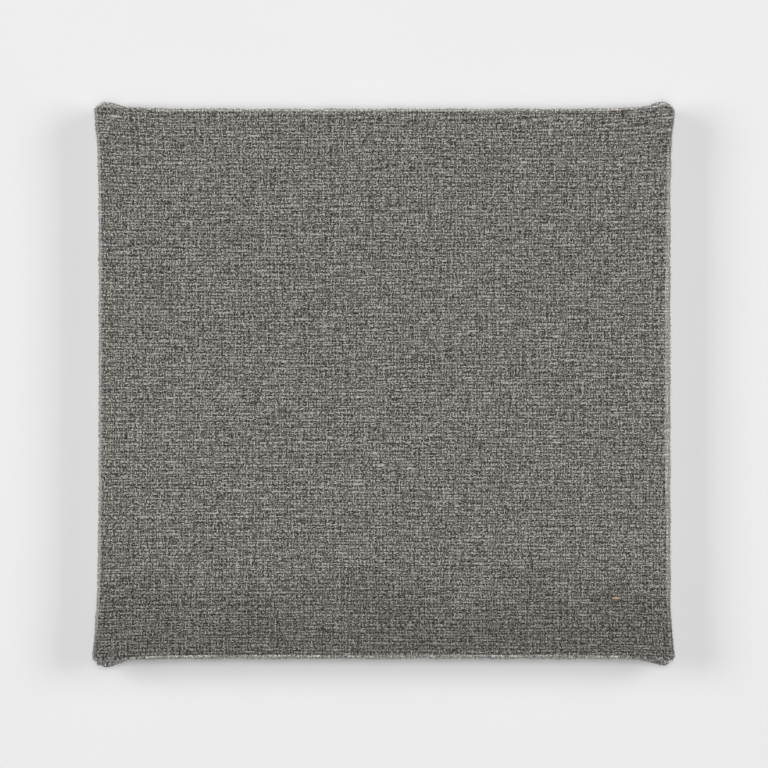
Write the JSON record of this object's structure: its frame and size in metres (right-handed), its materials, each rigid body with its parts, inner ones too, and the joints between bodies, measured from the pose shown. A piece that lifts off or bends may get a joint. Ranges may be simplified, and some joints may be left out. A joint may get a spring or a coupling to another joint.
{
  "type": "fabric acoustic wall panel",
  "caption": "Nearly square fabric-wrapped acoustic wall panel: woven grey cloth stretched over a rigid absorbing board, tucked at the corners and turned onto the back.",
  "frame": {"origin": "middle of the back, on the surface that the panel lies on", "axes": "+X along the panel's width, +Y along its height towards its top side, +Z out of its fabric face"},
  "size_m": [0.31, 0.3022, 0.0278],
  "materials": {
    "cloth": "coarse woven grey tweed, matt",
    "fibre_board": "compressed glass-fibre board, matt"
  },
  "bodies": {
    "root": {"core_board": "fibre_board", "fabric_cover": "cloth"}
  },
  "joints": []
}
